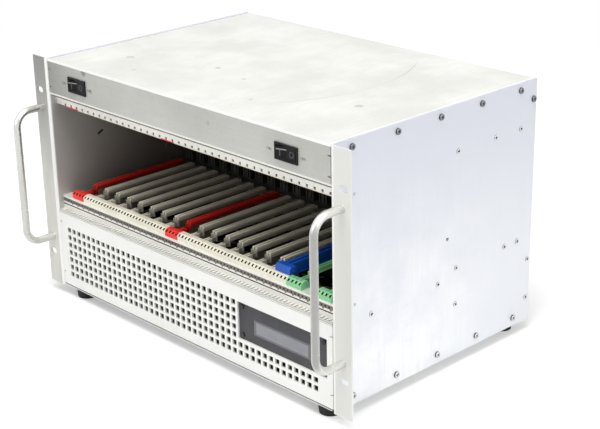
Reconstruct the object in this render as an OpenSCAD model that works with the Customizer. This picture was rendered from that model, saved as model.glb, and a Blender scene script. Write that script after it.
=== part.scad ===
// Rack-mount card-cage enclosure, six rack units high, with one row of
// three-unit card guides, a perforated fan bay and a header with two switches.
// Millimetres. X runs across the front, Y runs to the back, Z is up.
// Every module draws in the face frame: X from the middle, Y from the front
// of the rack flanges, Z from their lower edge. placed() moves the whole
// part so that its origin is under its middle, level with the feet.

/* [Rack face] */
// Width over the two rack flanges
rack_w = 482.6; // [472:0.1:500]
// Height of the rack flanges
rack_h = 265.9; // [262:0.1:270]
// Distance of the rack slots inside the outer edges of the flanges
slot_inset = 8.75; // [7:0.05:10]
// Distance between the lower and upper rack slots
slot_span_z = 190.5; // [170:0.1:200]
// Length of a rack slot
rack_slot_l = 10.3; // [8:0.1:12]
// Height of a rack slot
rack_slot_h = 6.8; // [5:0.1:7.2]

/* [Case] */
// Depth from the flange face to the rear edge of the sides
body_d = 293; // [288:1:330]
// Width of a flange, from the inner face of a side to the outer edge
flange_w = 25.4; // [24:0.1:28]
// Thickness of the side sheets
side_t = 2; // [1.5:0.1:2.5]
// Outer radius of the bend between side and flange
bend_r = 3.2; // [3.1:0.1:4.5]
// Thickness of the cover, base, rear and front sheets
sheet_t = 2; // [1:0.1:2.4]
// Gap between neighbouring sheets
sheet_gap = 0.2; // [0.1:0.05:0.4]
// How far the cover lies below the upper edge of the sides
cover_drop = 0.7; // [0.2:0.1:1.5]
// How far the base lies above the lower edge of the sides
base_rise = 0.9; // [0.2:0.1:1.5]
// Depth of the flanges that the cover and base turn along the sides
cover_flange = 14; // [12:0.5:16]
// Bend radius outside the cover and base
cover_bend_r = 2.6; // [2.5:0.1:4]
// Distance of a front sheet behind the flange face
panel_y = 1; // [0.5:0.1:2]
// Depth of the turned tabs and flanges of the front and rear sheets
tab_d = 12; // [10:0.5:14]

/* [Fixings] */
// Thread diameter of the case screws
screw_d = 3; // [2.5:0.1:3.5]
// Head diameter of the pan-head screws
pan_d = 6.4; // [5.5:0.1:7]
// Head height of the pan-head screws
pan_h = 1.9; // [1.2:0.1:2.5]
// Head diameter of the flat-head side screws
flat_d = 6; // [5:0.1:7]
// Height that a flat head stands proud of the side
flat_h = 0.5; // [0.2:0.1:1]
// Length of a case screw under its head
screw_l = 7.5; // [6.5:0.5:9]
// Radial gap round a screw in a hole
screw_gap = 0.15; // [0.1:0.05:0.3]
// Distance of the first and last cover screws from the ends of the sides
screw_end = 25.9; // [24:0.1:32]
// Height of the cover screws below the upper edge
cover_screw_z = 7.9; // [7:0.1:10]
// Height of the base screws above the lower edge
base_screw_z = 9.4; // [8:0.1:11]

/* [Handles] */
// Diameter of the handle rod
handle_d = 8; // [6:0.1:10]
// Distance between the two legs of a handle
handle_span = 152.4; // [120:0.1:160]
// Distance of the grip's middle line in front of the flange
handle_reach = 35; // [32:0.5:50]
// Radius of the handle bends at the middle line
handle_bend_r = 17; // [12:0.5:25]
// Distance of a handle inside the outer edge of its flange
handle_inset = 11.3; // [8.5:0.1:12.5]
// Thread diameter in the handle legs
handle_screw_d = 5; // [4:0.5:5]

/* [Feet] */
// Diameter of a foot at the top
foot_d = 25; // [20:0.5:30]
// Diameter of a foot at the floor
foot_floor_d = 22; // [18:0.5:25]
// Height of the rack flanges above the floor
foot_drop = 12; // [8:0.5:20]
// Distance of the feet from the inner faces of the sides
foot_side = 19.9; // [16:0.1:36]
// Distance of the feet from the front and rear edges
foot_inset = 17; // [16:1:30]

/* [Header] */
// Height of the header panel, measured down from the top of the flanges
header_h = 40.7; // [40:0.1:41.2]
// Outer radius of the bend along the header's lower edge
header_bend_r = 3; // [2.6:0.1:4]
// Distance of the left switch from the inner face of its side
switch_left_side = 52.9; // [40:0.1:70]
// Distance of the right switch from the inner face of its side
switch_right_side = 56.5; // [40:0.1:70]
// Depth of the switch centres below the top of the flanges
switch_drop = 21.3; // [19:0.1:23.5]
// Width of a switch frame
switch_w = 30.2; // [29:0.1:32]
// Height of a switch frame
switch_h = 16.6; // [16:0.1:18]
// Angle that a rocker tips through from one position to the other
rocker_travel = 18; // [12:1:20]

/* [Lower front] */
// Height of the lower panel's upper edge
lower_panel_top = 89.4; // [88:0.1:90]
// Side of a square grille hole
grille_hole = 6; // [4:0.1:7]
// Pitch of the grille holes
grille_pitch = 8.92; // [8.5:0.01:8.95]
// Distance of the outer grille columns from the inner faces of the sides
grille_side = 16.3; // [12:0.1:30]
// Height of the lowest grille row
grille_first_z = 17.4; // [16:0.1:18]
// Width of the display cut-out
display_w = 125; // [100:1:125]
// Height of the display cut-out
display_h = 40.6; // [36:0.1:41]
// Distance of the display cut-out from the inner face of the right side
display_side = 7.7; // [7:0.1:20]
// Lower edge of the display cut-out
display_low = 33; // [32:0.1:36]
// Width of the display window
window_w = 80; // [60:1:84]
// Height of the display window
window_h = 17; // [12:0.1:24]

/* [Card cage] */
// Pitch of the card slots
slot_pitch = 20.32; // [20:0.01:20.5]
// Distance of the first slot place from the inner face of the left side
cage_side = 16.7; // [12:0.1:22]
// Height of the seat that carries the lower guides
guide_seat_z = 107.6; // [107:0.1:108.5]
// Depth of the seat of the upper guides below the top of the flanges
upper_seat_drop = 46.3; // [46:0.1:48]
// Distance of the guide heads behind the flange face
guide_y = 9; // [8.5:0.1:10]
// Distance of the rear rails behind the flange face
rear_rail_y = 166; // [150:1:168]
// Depth of a front or rear rail
rail_d = 12; // [10:0.5:12]
// Height of the guide beams above the seat
beam_h = 11.4; // [10:0.1:12]
// Width of a guide beam
beam_w = 6.4; // [5:0.1:8]
// Thickness of the backplane board
backplane_t = 3.2; // [1.6:0.1:4]

/* [Cooling] */
// Side of the square fan frame
fan_side = 92; // [80:1:96]
// Depth of a fan
fan_h = 25.4; // [24:0.1:26]
// Distance of the outer fans from the inner faces of the sides
fan_end = 37.9; // [20:0.1:50]
// Number of blades on a rotor
fan_blades = 7; // [5:1:9]
// Distance of the fans behind the flange face
fan_y = 98.5; // [95:0.5:102]

/* [Hidden] */
$fn = 48;
over = 1;

// Frame of the whole part
front_y = -(handle_reach + handle_d / 2);
inlet_flange_t = 2.6;
rear_face_y = body_d - sheet_gap;
rear_y = rear_face_y + inlet_flange_t;
mid_y = (front_y + rear_y) / 2;

// Case
inner_x = rack_w / 2 - flange_w;
flat_x = inner_x + bend_r;
outer_x = inner_x + side_t;
cover_x = inner_x - sheet_gap;
cover_top = rack_h - cover_drop;
cover_low = cover_top - sheet_t;
base_low = base_rise;
base_top = base_low + sheet_t;
panel_back = panel_y + sheet_t;
panel_x = cover_x;
between_x = cover_x - sheet_t - sheet_gap;
tab_end = panel_back + tab_d;
flange_front = tab_end + sheet_gap;
rear_inner_y = rear_face_y - sheet_t;
slot_x = rack_w / 2 - slot_inset;
handle_x = rack_w / 2 - handle_inset;
mid_z = rack_h / 2;
hole_d = screw_d + 2 * screw_gap;
screw_pitch = (body_d - 2 * screw_end) / 4;
cover_rows_y = [for (i = [0:4]) screw_end + i * screw_pitch];
foot_x = inner_x - foot_side;
foot_ys = [foot_inset, body_d - foot_inset];

// Slot places, from the left, and the guides that stand in them
cage_left = inner_x - cage_side;
cage_clear = 8;
slot_count = floor((2 * inner_x - cage_side - cage_clear) / slot_pitch);
left_count = 7;
red_slots = [0, left_count + 1];
left_slots = [for (i = [1:left_count]) i];
right_slots = [for (i = [left_count + 2:slot_count - 5]) i];
blue_slot = slot_count - 4;
green_slots = [slot_count - 3, slot_count - 1];

// Rails
header_z = rack_h - header_h;
upper_seat_z = rack_h - upper_seat_drop;
cage_mid_z = (guide_seat_z + upper_seat_z) / 2;
rail_h = 15.4;
rail_y = 7.6;
rail_groove_d = 3;
rail_groove_h = 6;
strip_lip = 0.4;
strip_ledge = 1.5;
nose_gap = 0.6;
nose_t = 2.5;
nose_low = lower_panel_top + nose_gap;
nose_top = nose_low + nose_t;
nose_edge = 0.9;
nose_line_w = 0.8;
nose_line_d = 1.2;
tick_w = 2.4;
tick_d = 0.8;
line_low = 9.9;
line_h = 1;
line_d = 3.5;
strip_t = 2.5;
strip_h = 6;
strip_drop = 1.7;
strip_gap = 0.2;
strip_pitch = slot_pitch / 4;
strip_hole_d = 2.6;
rail_x = cover_x;
rear_rail_x = between_x - cover_bend_r + sheet_t;
strip_end = 1;
strip_x = rail_x - strip_end;
strip_xs = [for (i = [-2:4 * slot_count]) -cage_left + (i + 0.5) * strip_pitch];
notch_xs = [for (i = [0:2 * slot_count]) -cage_left + i * slot_pitch / 2];
notch_w = 2.6;
notch_h = 2.8;
notch_d = 4;
comb_t = 1.2;
comb_h = 5.4;
comb_gap = 0.2;
bracket_l = 18;
bracket_t = 2;
bracket_h = 12;
bracket_y = rail_y + rail_d;
stud_in = 9;
bracket_screw_y = bracket_y + stud_in;

// Guides, measured from their own front and from the seat
head_d = 11;
head_h = 7.7;
head_chamfer = 2.4;
head_slope_share = 1.5;
upper_head_h = 7.4;
head_gap = 0.2;
code_hole = 2.1;
code_depth = 3.6;
code_z = 4.6;
rib_groove = 0.8;
bridge_w = 5;
bridge_low = 1.6;
bridge_h = 6;
bridge_t = 1.2;
plate_t = 1.2;
plate_w = 9;
plate_h = 8.6;
beam_y = 24.4;
beam_low = 6.8;
beam_back = 8;
beam_end = rear_rail_y - guide_y - beam_back;
groove_w = 2;
groove_d = 3.6;
lead_l = 5;
lead_w = 2.4;
beam_lip = 1;
foot_l = 16;
foot_w = 9;
foot_t = 2.2;
blue_setback = 5;
blue_head_h = 7.4;
blue_head_l = 9;
blue_beam_w = 9;
blue_low = 4;
blue_top = head_h + head_gap + blue_head_h;

// Backplane and shelves
rail_back = rear_rail_y + rail_d;
board_side = 8;
board_x = inner_x - board_side;
board_lap = 8.3;
shelf_gap = 2;
shelf_back = rear_inner_y - tab_d - shelf_gap;
shelf_low_top = guide_seat_z - rail_h;
shelf_high_low = upper_seat_z + rail_h;
shelf_flange = 18;
shelf_high_flange = 26;
shelf_ear_l = 15;
shelf_ear_h = 43;
connector_w = 12.2;
connector_d = 9;
connector_end = 9;
connector_h = upper_seat_z - guide_seat_z - 2 * connector_end;
connector_split = 4;
field_w = 1.6;
field_d = 5;

// Fans
fan_margin = 8;
tray_gap = 1;
tray_top = shelf_low_top - tray_gap;
tray_front = fan_y - fan_side / 2 - fan_margin;
tray_back = fan_y + fan_side / 2 + fan_margin;
tray_flange = 14;
fan_top = tray_top - sheet_t;
fan_low = fan_top - fan_h;
fan_wall = 1.9;
bore_r = fan_side / 2 - fan_wall;
tip_gap = 1.2;
tip_r = bore_r - tip_gap;
hub_r = 17;
hub_wall = 1.8;
hub_gap = 0.8;
tube_h = 12;
shaft_d = 3;
running_gap = 0.05;
motor_t = 3;
tube_wall = 2.8;
spoke_w = 5;
fan_screw_share = 0.897;
fan_hole_d = 4.3;
blade_t = 1.6;
blade_tilt = 36;
corner_r = 4;
hub_rim = 1;
fan_pitch = inner_x - fan_side / 2 - fan_end;
fan_xs = [-fan_pitch, 0, fan_pitch];

// Switches
frame_rise = 1.5;
frame_w = 1.5;
pivot_depth = 3.5;
pivot_y = panel_y + pivot_depth;
pocket_l = switch_w - 2 * frame_w;
pocket_rim = 2.4;
pocket_h = switch_h - 2 * pocket_rim;
pocket_d = 11;
pocket_back = panel_y + pocket_d;
switch_lap = 1;
switch_body_w = switch_w - 2 * switch_lap;
switch_body_h = switch_h - 2 * switch_lap;
switch_d = 24;
switch_back = panel_y + switch_d;
rocker_gap = 0.3;
rocker_r = pocket_l / 2 - rocker_gap;
rocker_h = pocket_h - 2 * rocker_gap;
rocker_front = 4.7;
rocker_back = 3;
rocker_scoop = tan(rocker_travel / 2) * rocker_r;
pin_d = 3;
pin_l = 1;
blade_w = 6.3;
blade_thick = 0.8;
blade_l = 8;
switch_left_x = inner_x - switch_left_side;
switch_right_x = inner_x - switch_right_side;
switch_z = rack_h - switch_drop;
switch_xs = [-switch_left_x, switch_right_x];

// Display
bezel_lap = 3;
bezel_t = 2.6;
bezel_y = panel_back;
display_right = inner_x - display_side;
display_left = display_right - display_w;
window_inset = 21;
window_left = display_left + window_inset;
window_rise = 9.3;
window_low = display_low + window_rise;
window_edge = 1.6;
window_t = 2;
window_gap = 0.1;
window_recess = 0.3;
board_t = 1.6;
board_gap = 9;
spacer_d = 6;
bezel_screw_inset = 5;

// Front sheets
relief_h = 1.3;
relief_l = 3.6;
header_top = cover_low - sheet_gap;
header_tab_drop = 31;
header_tab_h = 19.7;
header_tab_low = rack_h - header_tab_drop;
header_tab_high = header_tab_low + header_tab_h;
lower_tab_low = 17.6;
lower_tab_drop = 11.2;
lower_tab_high = lower_panel_top - lower_tab_drop;

// Grille: as many holes as fit between the sides and round the display
grille_first_x = inner_x - grille_side;
grille_columns = 1 + floor(2 * grille_first_x / grille_pitch);
grille_rows = 1 + floor((lower_panel_top - 2 * grille_first_z) / grille_pitch);
grille_full_columns = 1 + floor((display_left - bezel_lap - grille_hole / 2 + grille_first_x)
    / grille_pitch);
grille_low_rows = 1 + floor((display_low - bezel_lap - grille_hole / 2 - grille_first_z)
    / grille_pitch);

// Screw places on a side, as [Y, Z]
free_hole_drop = 33.5;
free_hole_d = 4;
tab_screw_inset = 2.6;
tab_screw_y = rear_inner_y - tab_screw_inset;
shelf_screw_in = 7;
shelf_screw_drop = 1.9;
shelf_screw_rise = 3.4;
shelf_l = shelf_back - rear_rail_y;
shelf_high_share = 0.578;
shelf_low_share = 0.749;
side_high_z = upper_seat_z - shelf_screw_drop;
side_low_z = shelf_low_top + shelf_screw_rise;
shelf_high_ys = [rear_rail_y + shelf_screw_in, rear_rail_y + shelf_high_share * shelf_l,
    shelf_back - shelf_screw_in];
shelf_low_ys = [rear_rail_y + shelf_screw_in, rear_rail_y + shelf_low_share * shelf_l,
    shelf_back - shelf_screw_in];
ear_low = shelf_low_top - shelf_ear_h;
ear_screw = [rear_rail_y + shelf_screw_in, ear_low + shelf_screw_in];
tray_screw_in = 6.5;
tray_screw_drop = 3;
tray_screw_z = fan_top - tray_screw_drop;
tray_screws = [[tray_front + tray_screw_in, tray_screw_z], [tray_back - tray_screw_in, tray_screw_z]];
rear_tab_zs = [26.5, 70.3];
rear_pan_drop = 20.8;
rear_pan_z = rack_h - rear_pan_drop;
flat_places = concat([for (y = shelf_high_ys) [y, side_high_z]],
    [for (y = shelf_low_ys) [y, side_low_z]], tray_screws, [ear_screw],
    [for (z = rear_tab_zs) [tab_screw_y, z]]);
pan_places = concat([for (y = cover_rows_y) [y, rack_h - cover_screw_z]],
    [for (y = cover_rows_y) [y, base_screw_z]], [[tab_screw_y, rear_pan_z]]);
stud_drop = 4.3;
stud_high_drop = 7.1;
stud_low_z = guide_seat_z - stud_drop;
stud_high_z = upper_seat_z - stud_high_drop;
stud_places = [for (z = [stud_low_z, stud_high_z]) [bracket_screw_y, z]];

// Open fixing hole in each side, as [Y, Z]
free_hole = [rear_rail_y - shelf_screw_in, cage_mid_z - free_hole_drop];

// Handle and foot fixings
handle_screw_l = 10;
handle_head_share = 1.7;
handle_head_h = 2.8;
foot_well = 1.5;
foot_nut_h = 2.4;
bezel_head_d = 5.2;
bezel_head_h = 1.4;

// Rear panel: vent rows as [left edge, lower edge, count]
vent_w = 3.2;
vent_h = 24;
vent_pitch = 8;
vent_side = 29.9;
vent_high_drop = 39.9;
vent_mid_z = 128;
vent_low_z = 98;
vent_half = 17;
vent_full = floor((2 * inner_x - 2 * vent_side) / vent_pitch);
vent_left = -(vent_full - 1) * vent_pitch / 2 - vent_w / 2;
vent_rows = [[vent_left, rack_h - vent_high_drop, vent_full], [vent_left, vent_mid_z, vent_half],
    [vent_left, vent_low_z, vent_half]];

// Power supply on the lower shelf
supply_side = 10.9;
supply_x = -(inner_x - supply_side);
supply_w = 150;
supply_in = 18;
supply_y = rail_back + supply_in;
supply_gap = 0.8;
supply_l = shelf_back - supply_gap - supply_y;
supply_h = 46;
supply_slots = 12;

// Mains inlet
inlet_side = 50.9;
inlet_x = inner_x - inlet_side;
inlet_z = 46;
inlet_w = 27.2;
inlet_h = 19.8;
inlet_lap = 2.6;
inlet_body = 24;
socket_w = 24.4;
socket_h = 16.6;
socket_d = 15.5;
socket_cut = 4.5;
pin_step = 7;
pin_rise = 2;
pin_t = 2;
pin_w = 4;
pin_tail = 9;
pin_inset = 3;

module placed() { translate([0, -mid_y, foot_drop]) children(); }

// A box between two corners
module block(x0, x1, y0, y1, z0, z1) {
    translate([x0, y0, z0]) cube([x1 - x0, y1 - y0, z1 - z0]);
}

// An outline in Y and Z drawn out along X
module along_x(x0, x1) {
    translate([x0, 0, 0]) rotate([90, 0, 90]) linear_extrude(x1 - x0) children();
}

// An outline in X and Z drawn out along Y
module along_y(y0, y1) {
    translate([0, y1, 0]) rotate([90, 0, 0]) linear_extrude(y1 - y0) children();
}

// Round bars along the three axes, from one end to the other
module bar_x(x0, x1, y, z, d) { translate([x0, y, z]) rotate([0, 90, 0]) cylinder(d = d, h = x1 - x0); }
module bar_y(x, y0, y1, z, d) { translate([x, y1, z]) rotate([90, 0, 0]) cylinder(d = d, h = y1 - y0); }
module bar_z(x, y, z0, z1, d) { translate([x, y, z0]) cylinder(d = d, h = z1 - z0); }

// A long hole with round ends through a sheet that lies across Y
module slot_y(x, z, y0, y1, length, height) {
    block(x - (length - height) / 2, x + (length - height) / 2, y0, y1, z - height / 2, z + height / 2);
    for (s = [-1, 1]) bar_y(x + s * (length - height) / 2, y0, y1, z, height);
}

// Both hands of what is drawn on the right
module both() { children(); mirror([1, 0, 0]) children(); }

module side_outline() {
    translate([inner_x, bend_r]) square([side_t, body_d - bend_r]);
    translate([flat_x, 0]) square([rack_w / 2 - flat_x, side_t]);
    translate([flat_x, bend_r]) intersection() {
        difference() { circle(bend_r); circle(bend_r - side_t); }
        translate([-bend_r, -bend_r]) square(bend_r);
    }
}

module side_panel() {
    color("gainsboro") difference() {
        linear_extrude(rack_h) side_outline();
        for (s = [-1, 1]) {
            slot_y(slot_x, mid_z + s * slot_span_z / 2, -over, side_t + over, rack_slot_l, rack_slot_h);
            bar_y(handle_x, -over, side_t + over, mid_z + s * handle_span / 2,
                handle_screw_d + 2 * screw_gap);
        }
        for (p = concat(flat_places, pan_places, stud_places))
            bar_x(inner_x - over, outer_x + over, p[0], p[1], hole_d);
        bar_x(inner_x - over, outer_x + over, free_hole[0], free_hole[1], free_hole_d);
    }
}

// A sheet bent along both sides, as an outline in X and Z: its flat has
// its upper face at top and its sides run down from there
module tray_outline(half, top, flange, t, r) {
    translate([-(half - r), top - t]) square([2 * (half - r), t]);
    for (s = [-1, 1]) {
        translate([s > 0 ? half - t : -half, top - flange]) square([t, flange - r]);
        translate([s * (half - r), top - r]) intersection() {
            difference() { circle(r); circle(r - t); }
            translate([s > 0 ? 0 : -r, 0]) square(r);
        }
    }
}

// Holes in both sides of such a sheet
module side_holes(ys, z, half, t) {
    for (y = ys) {
        bar_x(half - t - over, half + over, y, z, hole_d);
        bar_x(-half - over, -half + t + over, y, z, hole_d);
    }
}

module top_cover() {
    color("whitesmoke") difference() {
        along_y(panel_y, rear_face_y) tray_outline(cover_x, cover_top, cover_flange, sheet_t, cover_bend_r);
        block(-outer_x, outer_x, panel_y - over, flange_front, header_z, cover_low);
        side_holes(cover_rows_y, rack_h - cover_screw_z, cover_x, sheet_t);
    }
}

module base_plate() {
    color("lightgray") difference() {
        along_y(panel_y, rear_face_y) mirror([0, 1])
            tray_outline(cover_x, -base_low, cover_flange, sheet_t, cover_bend_r);
        block(-outer_x, outer_x, panel_y - over, flange_front, base_top, lower_panel_top);
        side_holes(cover_rows_y, base_screw_z, cover_x, sheet_t);
        for (x = [-foot_x, foot_x], y = foot_ys) bar_z(x, y, base_low - over, base_top + over, hole_d);
    }
}

// End tab that turns back from a front sheet, between two relief slots
module front_tab(z0, z1) { block(panel_x - sheet_t, panel_x, panel_back, tab_end, z0, z1); }
module reliefs(z0, z1) {
    for (z = [z0, z1])
        block(panel_x - relief_l, panel_x + over, panel_y - over, panel_back + over,
            z - relief_h / 2, z + relief_h / 2);
}

// Header sheet in Y and Z, turned back along its lower edge
module header_outline() {
    translate([panel_y, header_z + header_bend_r]) square([sheet_t, header_top - header_z - header_bend_r]);
    translate([panel_y + header_bend_r, header_z])
        square([rail_y - sheet_gap - panel_y - header_bend_r, sheet_t]);
    translate([panel_y + header_bend_r, header_z + header_bend_r]) intersection() {
        difference() { circle(header_bend_r); circle(header_bend_r - sheet_t); }
        translate([-header_bend_r, -header_bend_r]) square(header_bend_r);
    }
}

module header_panel() {
    color("silver") difference() {
        union() {
            along_x(-panel_x, panel_x) header_outline();
            both() front_tab(header_tab_low + relief_h, header_tab_high - relief_h);
        }
        both() reliefs(header_tab_low, header_tab_high);
        for (x = switch_xs)
            block(x - switch_body_w / 2 - sheet_gap, x + switch_body_w / 2 + sheet_gap,
                panel_y - over, rail_y, switch_z - switch_body_h / 2 - sheet_gap,
                switch_z + switch_body_h / 2 + sheet_gap);
    }
}

// The grille is a grid whose upper right-hand part is left blank for the display
module grille_holes() {
    for (c = [0:grille_columns - 1])
        for (r = [0:(c < grille_full_columns ? grille_rows : grille_low_rows) - 1])
            translate([c * grille_pitch - grille_first_x - grille_hole / 2, panel_y - over,
                grille_first_z + r * grille_pitch - grille_hole / 2])
                cube([grille_hole, sheet_t + 2 * over, grille_hole]);
}

module lower_front_panel() {
    color("whitesmoke") difference() {
        union() {
            block(-panel_x, panel_x, panel_y, panel_back, base_top + sheet_gap, lower_panel_top);
            both() front_tab(lower_tab_low + relief_h, lower_tab_high - relief_h);
        }
        both() reliefs(lower_tab_low, lower_tab_high);
        grille_holes();
        block(display_left, display_right, panel_y - over, panel_back + over,
            display_low, display_low + display_h);
    }
}

module rear_panel() {
    edge_low = base_low + cover_flange + sheet_gap;
    edge_high = cover_top - cover_flange - sheet_gap;
    color("silver") difference() {
        union() {
            block(-between_x, between_x, rear_inner_y, rear_face_y, base_top + sheet_gap, header_top);
            block(-cover_x, cover_x, rear_inner_y, rear_face_y, edge_low, edge_high);
            both() block(cover_x - sheet_t, cover_x, rear_inner_y - tab_d, rear_inner_y, edge_low, edge_high);
        }
        for (z = concat(rear_tab_zs, [rear_pan_z])) side_holes([tab_screw_y], z, cover_x, sheet_t);
        for (row = vent_rows, i = [0:row[2] - 1])
            block(row[0] + i * vent_pitch, row[0] + i * vent_pitch + vent_w,
                rear_inner_y - over, rear_face_y + over, row[1], row[1] + vent_h);
        block(inlet_x - inlet_w / 2 - sheet_gap, inlet_x + inlet_w / 2 + sheet_gap,
            rear_inner_y - over, rear_face_y + over,
            inlet_z - inlet_h / 2 - sheet_gap, inlet_z + inlet_h / 2 + sheet_gap);
    }
}

// Outline of a rail in Y and Z, with its guide seat at zero
module rail_outline(y0) {
    difference() {
        translate([y0, -rail_h]) square([rail_d, rail_h]);
        translate([y0 + rail_d - rail_groove_d, -rail_h / 2 - rail_groove_h / 2])
            square([rail_groove_d + over, rail_groove_h]);
        children();
    }
}

// Channel for the threaded strip, open to the front between a thin lip and
// a taller one on the side away from the guides
module strip_channel() {
    translate([rail_y + strip_lip, -strip_drop - strip_h - 2 * strip_gap])
        square([strip_t + 2 * strip_gap, strip_h + 2 * strip_gap]);
    translate([rail_y - over, -strip_drop - strip_h - 2 * strip_gap + strip_ledge])
        square([over + strip_lip + strip_gap, strip_h + 2 * strip_gap - strip_ledge - strip_lip]);
}

// Lower front rail: the strip channel with notches in its lower lip, a thin
// line cut under it, and a ledge in front with ribs that run to the back
module front_rail_lower() {
    lip_low = guide_seat_z - strip_drop - strip_h - 2 * strip_gap;
    color("lightgray") difference() {
        union() {
            translate([0, 0, guide_seat_z]) along_x(-rail_x, rail_x) rail_outline(rail_y) strip_channel();
            block(-rail_x, rail_x, panel_y, rail_y + rail_d, nose_low, nose_top);
        }
        block(-rail_x - over, rail_x + over, rail_y - over, rail_y + line_d,
            guide_seat_z - line_low, guide_seat_z - line_low + line_h);
        block(-rail_x - over, rail_x + over, panel_y + nose_edge, panel_y + nose_edge + nose_line_w,
            nose_top - nose_line_d, nose_top + over);
        for (x = notch_xs)
            block(x - notch_w / 2, x + notch_w / 2, rail_y - over, rail_y + strip_lip + strip_gap,
                lip_low, lip_low + strip_ledge + strip_gap);
        for (x = strip_xs)
            block(x - tick_w / 2, x + tick_w / 2, panel_y + nose_edge, rail_y,
                nose_top - tick_d, nose_top + over);
    }
}

// Upper front rail: the same channel upside down, with a comb that hangs in
// front of the guide heads
module front_rail_upper() {
    color("lightgray") translate([0, 0, upper_seat_z]) mirror([0, 0, 1]) {
        along_x(-rail_x, rail_x) rail_outline(rail_y) strip_channel();
        difference() {
            block(-rail_x, rail_x, guide_y, guide_y + comb_t, -over, comb_h);
            for (x = notch_xs)
                block(x - notch_w / 2, x + notch_w / 2, guide_y - over, guide_y + comb_t + over,
                    comb_h - notch_h, comb_h + over);
        }
    }
}

module rear_rail_lower() {
    color("lightgray") difference() {
        translate([0, 0, guide_seat_z]) along_x(-rear_rail_x, rear_rail_x) rail_outline(rear_rail_y);
        both() bar_x(outer_x - screw_l - screw_gap, rear_rail_x + over, rear_rail_y + shelf_screw_in,
            side_low_z, hole_d);
    }
}

module rear_rail_upper() {
    color("lightgray") translate([0, 0, upper_seat_z]) mirror([0, 0, 1])
        along_x(-rear_rail_x, rear_rail_x) rail_outline(rear_rail_y);
}

// Steel strip with a tapped hole at every quarter of a slot place
module threaded_strip(seat, up) {
    z = seat + up * (strip_drop + strip_gap + strip_h / 2);
    y = rail_y + strip_lip + strip_gap;
    color("dimgray") difference() {
        block(-strip_x, strip_x, y, y + strip_t, z - strip_h / 2, z + strip_h / 2);
        for (x = strip_xs) bar_y(x, y - over, y + strip_t + over, z, strip_hole_d);
    }
}

// Angles that join the front rails to the sides, each with a flush stud
module rail_bracket(z0, z1, stud_z) {
    x = inner_x - sheet_gap;
    block(x - bracket_h, x, bracket_y, bracket_y + bracket_t, z0, z1);
    block(x - bracket_t, x, bracket_y, bracket_y + bracket_l, min(z0, stud_z - bracket_h / 2), z1);
    bar_x(x - bracket_t / 2, outer_x, bracket_screw_y, stud_z, screw_d);
}

module rail_brackets() {
    color("silver") both() {
        rail_bracket(guide_seat_z - rail_h, guide_seat_z - bracket_t, stud_low_z);
        rail_bracket(upper_seat_z + bracket_t, upper_seat_z + rail_h, stud_high_z);
    }
}

// Card guides: drawn at the middle of a slot place, from the seat upwards
module lower_head() {
    half = (slot_pitch - head_gap) / 2;
    slope = head_chamfer * head_slope_share;
    difference() {
        along_x(-half, half) polygon([[0, 0], [0, head_h - head_chamfer], [slope, head_h],
            [head_d - head_chamfer, head_h], [head_d, head_h - head_chamfer], [head_d, 0]]);
        for (i = [-1.5:1.5])
            block(i * strip_pitch - code_hole / 2, i * strip_pitch + code_hole / 2,
                -over, code_depth, code_z, code_z + code_hole);
        for (i = [-1:1])
            block(i * strip_pitch - rib_groove / 2, i * strip_pitch + rib_groove / 2,
                slope, head_d + over, head_h - rib_groove, head_h + over);
    }
}

// Head of an upper guide, square behind the comb and notched to match it
module upper_head() {
    half = (slot_pitch - head_gap) / 2;
    front = comb_t + comb_gap;
    difference() {
        along_x(-half, half) polygon([[front, 0], [front, upper_head_h],
            [head_d - head_chamfer, upper_head_h], [head_d, upper_head_h - head_chamfer], [head_d, 0]]);
        for (x = [-slot_pitch / 2, 0, slot_pitch / 2])
            block(x - notch_w / 2, x + notch_w / 2, -over, notch_d, comb_h - notch_h, comb_h);
    }
}

// Grooved beam that a board runs in, with a foot at the rear rail
module guide_beam(y0, low, high, w) {
    difference() {
        union() {
            along_y(y0, beam_end) {
                translate([-w / 2, low]) square([w, high - low]);
                translate([-w / 2 - beam_lip, low]) square([w + 2 * beam_lip, beam_lip]);
            }
            block(-bridge_w / 2, bridge_w / 2, beam_end - foot_t, beam_end, 0, high - groove_d);
        }
        block(-groove_w / 2, groove_w / 2, y0 - over, beam_end + over, high - groove_d, high + over);
        translate([0, y0, high]) rotate([0, 45, 0])
            cube([lead_w, 2 * lead_l, lead_w], center = true);
    }
    block(-foot_w / 2, foot_w / 2, beam_end - foot_t, beam_end + foot_l, 0, foot_t);
}

// Bridge and beam behind a head, with the plate that joins them
module guide_back() {
    difference() {
        block(-bridge_w / 2, bridge_w / 2, head_d - bridge_t, beam_y, bridge_low, bridge_h);
        block(-bridge_w / 2 + bridge_t, bridge_w / 2 - bridge_t, head_d, beam_y - plate_t,
            bridge_low + bridge_t, bridge_h + over);
    }
    block(-plate_w / 2, plate_w / 2, beam_y - plate_t, beam_y, bridge_low, plate_h);
    guide_beam(beam_y, beam_low, beam_h, beam_w);
}

module lower_guide() { lower_head(); guide_back(); }
module upper_guide() { upper_head(); guide_back(); }

module at_slot(i) { translate([-cage_left + (i + 0.5) * slot_pitch, guide_y, guide_seat_z]) children(); }
module upper_row() { translate([0, 0, 2 * cage_mid_z]) mirror([0, 0, 1]) children(); }

module lower_guides_left() { color("ivory") for (i = left_slots) at_slot(i) lower_guide(); }
module lower_guides_right() {
    color("ivory") {
        for (i = right_slots) at_slot(i) lower_guide();
        at_slot(blue_slot) lower_head();
    }
}
module lower_guides_red() { color("red") for (i = red_slots) at_slot(i) lower_guide(); }
module lower_guides_green() { color("mediumseagreen") for (i = green_slots) at_slot(i) lower_guide(); }

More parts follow.
